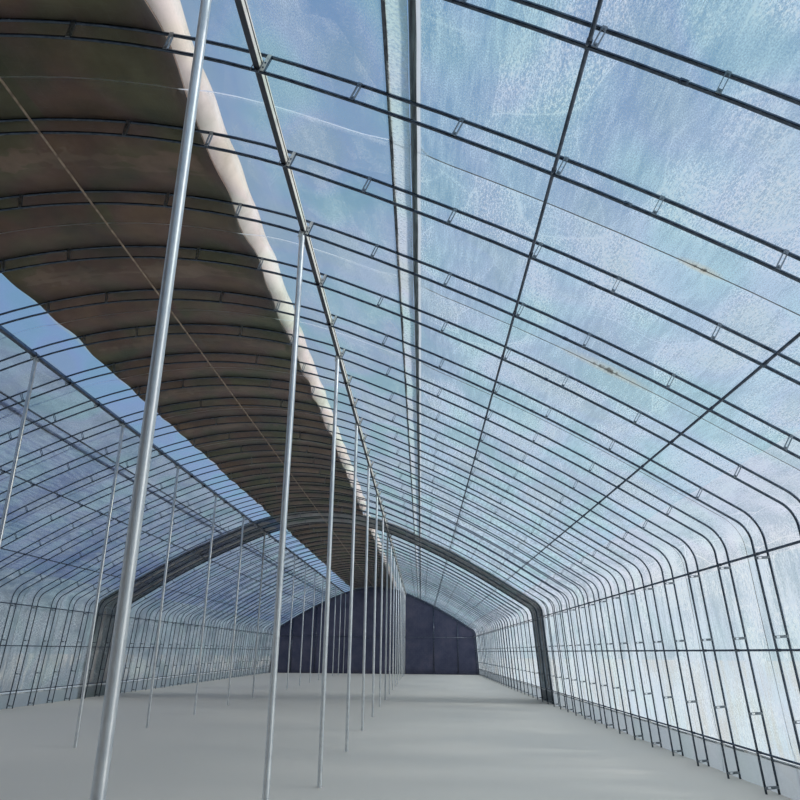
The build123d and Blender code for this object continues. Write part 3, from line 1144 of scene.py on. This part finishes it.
# %% Rolls
def lumpy_roll(distance, offset, radius, y_start, y_end, sides, step, lumps, seed, spiral=0.0):
    """Roll along the house whose surface swells and sags, and its flat coordinates."""
    random = np.random.default_rng(seed)
    waves = [(random.uniform(1.5, 16), random.integers(0, 5), random.uniform(0, 6.28)) for _ in range(12)]
    rings = max(2, round(abs(y_end - y_start) / step)) + 1
    ys = np.linspace(y_start, y_end, rings)
    turns = np.linspace(0, 2 * math.pi, sides, endpoint=False)
    points, uv = [], []
    for y in ys:
        sag = 0.8 * float(quilt_sag(distance, y))
        for turned in turns:
            swell = sum(math.sin(u * y + k * turned + start) for u, k, start in waves) / len(waves)
            reach = radius * (1 - lumps * (0.5 - 0.5 * swell * 2.2)) * (1 - spiral * turned / (2 * math.pi))
            points.append((reach * math.sin(turned), y, offset - sag + reach * math.cos(turned)))
            uv.append((y, turned * radius))
    return np.array(along_arch(distance, points)), ring_faces(rings, sides), uv


def many_rolls(rows):
    shapes = [lumpy_roll(*row) for row in rows]
    corners, faces = joined([(corners, faces) for corners, faces, _ in shapes])
    return corners, faces, np.vstack([uv for _, _, uv in shapes])


part_ends = [(-house_end, -part_start), (part_start, house_end)]
vent_material, nodes = new_material("vent_roll")
folds = nodes.noise(nodes.stretched(nodes.place("UV"), (7, 60)), 1, 6)
nodes.show(nodes.add("BsdfPrincipled", {
    "Base Color": nodes.ramp(folds, (0.34, (0.03, 0.045, 0.06)), (0.68, (0.16, 0.22, 0.24))),
    "Roughness": 0.35, "Normal": nodes.bump(folds, 0.5, 0.002),
}))
vent_lift = film_rest + 0.002 + vent_pipe_radius
corners, faces, uv = many_rolls([
    (side * vent_distance, vent_lift, vent_pipe_radius, start, end, 12, 0.05, 0.12, 3 + side)
    for start, end in part_ends
    for side in (1, -1)
])
make_piece("vent_rolls", corners, faces, vent_material, "vent_roll", ["vent_pipes"], uv=uv)

# %% [markdown]
# ## Quilts
# The quilts are thick felt, sewn in rows. Their colour is uneven, and the rolls are painted darker where they face
# up and paler beneath, which stands in for light. The stitch rows are a bump that follows the flat coordinates,
# and the felt has a fine grain.

# %% Quilt material
def quilt_material(name, dark, middle, light, grain=420, rows=16, sewn_depth=0.7, rib_shade=0.0, upward_tone=None):
    """Felt in three tones, sewn in rows.

    ribbed is how much painted shade darkens it where it lies on a rib, and weathered is the darker colour it takes
    where it faces up, which leaves the roll's lower side painted paler, as light.
    """
    material, nodes = new_material(name)
    place = nodes.place("Object")
    tone = nodes.ramp(nodes.noise(place, 2.4, 6, 0.65), (0.33, dark), (0.5, middle), (0.68, light))
    # Painted shade: the felt is darkened where it lies on a rib.
    if rib_shade:
        from_rib = nodes.math("PINGPONG", nodes.axes(place)["Y"], bay / 2)
        near_rib = nodes.mapped(from_rib, 0, bay * 0.3, rib_shade, 0, "SMOOTHSTEP")
        tone = nodes.mixed(near_rib, tone, (0.03, 0.024, 0.02))
    # Painted light: the felt takes a darker colour where it faces up, and stays paler beneath.
    if upward_tone:
        tone = nodes.mixed(nodes.mapped(nodes.facing_up(), -0.25, 0.45, 0, 0.85), tone, upward_tone)
    stitches = nodes.add("TexBrick", {
        "Vector": nodes.place("UV"), "Scale": rows, "Mortar Size": 0.03, "Mortar Smooth": 0.9,
        "Brick Width": 2.0, "Row Height": 1.0,
    })
    sewn = nodes.bump(stitches.outputs["Fac"], sewn_depth, 0.006, invert=True)
    fuzzy = nodes.bump(nodes.noise(place, grain, 3), 0.35, 0.0015, over=sewn)
    nodes.show(nodes.add("BsdfPrincipled", {
        "Base Color": tone, "Roughness": 0.92, "Sheen Weight": 0.25, "Normal": fuzzy,
    }))
    return material


cover_quilt = quilt_material(
    "cover_quilt", (0.11, 0.08, 0.055), (0.18, 0.115, 0.075), (0.26, 0.175, 0.12), sewn_depth=0.25, rib_shade=0.45
)
band_quilt = quilt_material("band_quilt", (0.17, 0.165, 0.17), (0.26, 0.25, 0.25), (0.36, 0.35, 0.35))
roll_quilt = quilt_material(
    "roll_quilt", (0.62, 0.57, 0.52), (0.88, 0.82, 0.78), (0.96, 0.88, 0.86), 380, 9, 0.2,
    upward_tone=(0.5, 0.45, 0.4),
)
gable_quilt = quilt_material("gable_quilt", (0.058, 0.06, 0.11), (0.08, 0.085, 0.14), (0.115, 0.11, 0.165))
print("quilt materials ready")

# %% Quilt over the crown and round the middle
quilt_thickness = 0.018
roll_radius = 0.121


def quilt_sheet(stations, y_start, y_end, columns, base, thickness, seed, wavy=0.0):
    """Closed quilt over a row of distances, soft at its long edges, which may be wavy."""
    waves = random_waves(seed, 9, (2, 11), (2, 14), (0, 6.28))
    ys = np.linspace(y_start, y_end, columns + 1)
    corners, uv = [], []
    for level in (0, 1):
        for number, distance in enumerate(stations):
            rim = number in (0, len(stations) - 1)
            for y in ys:
                wave = sum(math.sin(a * y + b * distance + c) for a, b, c in waves) / len(waves)
                lift = base + (0.0012 + 0.0010 * (wave + 1) if level == 0 else thickness - 0.0025 + 0.0022 * wave)
                if rim:
                    lift = base + thickness * (0.3 if level == 0 else 0.7)
                lift -= float(quilt_sag(distance, y))
                end = stations[-1] if distance > 0 else -stations[0]
                edge_wave = wavy * (wave - 0.1) * math.copysign((abs(distance) / end) ** 6, distance)
                place, out = arch(distance + edge_wave, 0)
                if abs(distance) >= foot:
                    down = np.array([math.copysign(out[1], distance), -abs(out[0])])
                    place = place + lift * math.tan(wall_lean) * down
                corners.append((place[0] + out[0] * lift, y, place[1] + out[1] * lift))
                uv.append((y, distance))
    inside, outside, (near_rim, far_rim, first_rim, last_rim) = slab_faces(len(stations), len(ys))
    faces = backwards(inside) + outside + near_rim + backwards(far_rim) + backwards(first_rim) + last_rim
    return corners, faces, uv


quilt_base = chord_spacing + tube_radius + 0.002
cover_stations = np.linspace(-cover_left, cover_right, 21)
for word, (start, end) in zip(("near", "far"), part_ends):
    corners, faces, uv = quilt_sheet(cover_stations, start, end, 200, quilt_base, quilt_thickness, 11, 0.03)
    cover = make_piece("quilt_cover_" + word, corners, faces, cover_quilt, "quilt_cloth", ["quilt_cover"], uv=uv)

band_stations = both_halves(np.concatenate([
    np.linspace(0, run_end, 17), np.linspace(run_end, eave, 8)[1:], np.linspace(eave, foot, 6)[1:]
]))
corners, faces, uv = quilt_sheet(band_stations, -band_half, band_half, 14, quilt_base, quilt_thickness, 12)
band = make_piece("centre_band", corners, faces, band_quilt, "quilt_cloth", ["centre_quilt_band"], uv=uv)

roll_offset = quilt_base + quilt_thickness + roll_radius + 0.0003
for word, side, roll_x in (("right", 1, 0.571), ("left", -1, 0.684)):
    place = (side * distance_at_x(roll_x), roll_offset, roll_radius)
    corners, faces, uv = many_rolls([
        (*place, start, end, 30, 0.045, 0.14, 21 + side + number, 0.02)
        for number, (start, end) in enumerate(part_ends)
    ])
    roll = make_piece("quilt_roll_" + word, corners, faces, roll_quilt, "quilt_cloth", ["quilt_rolls"], uv=uv)

# %% [markdown]
# ## Gables
# Both ends are closed by a dark quilt that hangs on posts and a rail. It bellies a little between them.

# %% Gables
wall_x = 3.3


def gable_shape(end, heights=12):
    """Closed quilt wall across the house. Its outer columns lean with the walls."""
    half = np.concatenate([np.linspace(0, run_end, 25), np.linspace(run_end, eave, 6)[1:]])
    tops = [arch(distance, film_rest + 0.001)[0] for distance in both_halves(half)]
    corners, uv = [], []
    for level in (0, 1):
        for x, top in tops:
            for z in np.linspace(0, top, heights + 1):
                lean = (top - z) * math.tan(wall_lean) if abs(x) > wall_x else 0
                px = x + math.copysign(lean, x)
                belly = 0.0015 * math.sin(9 * px) + 0.001 * math.sin(7 * z + 2 * px)
                depth = 0.0022 + belly if level == 0 else quilt_thickness - 0.0025 + belly * 0.8
                corners.append((px, end * (house_end + depth), z))
                uv.append((z, px))
    inside, outside, rims = slab_faces(len(tops), heights + 1)
    return corners, inside + backwards(outside) + sum(rims, []), uv


edge_line = np.array([arch(distance, film_rest)[0] for distance in np.linspace(0, eave, 80)])
pole_y = house_end - post_radius
rail_radius = 0.009
rail_height = 1.18
rail_reach = arch(distance_at_height(rail_height), -tube_radius)[0][0] - 0.001
rail_xs = (-rail_reach, rail_reach)
poles = joined([post_shape(side * x) for x in (upper_purlin_x, lower_purlin_x) for side in (1, -1)])
for word, end in (("near", -1), ("far", 1)):
    corners, faces, uv = gable_shape(end)
    quilt = make_piece("gable_" + word, corners, faces, gable_quilt, "dark_quilt", ["gable_quilt_" + word], uv=uv)
    pole_row = copies(poles, [(0, end * pole_y, 0)])
    make_piece("gable_posts_" + word, *pole_row, pipe_steel, "post_tube", ["gable_poles_" + word])
    rail_y = end * (house_end - 2 * post_radius - rail_radius)
    corners = [(x, rail_y + a, rail_height + b) for x in rail_xs for a, b in round_ring(rail_radius, 14)]
    rail = (corners, ring_faces(2, 14))
    make_piece("gable_rails_" + word, *rail, pipe_steel, "galvanised_tube", ["gable_rail_" + word])
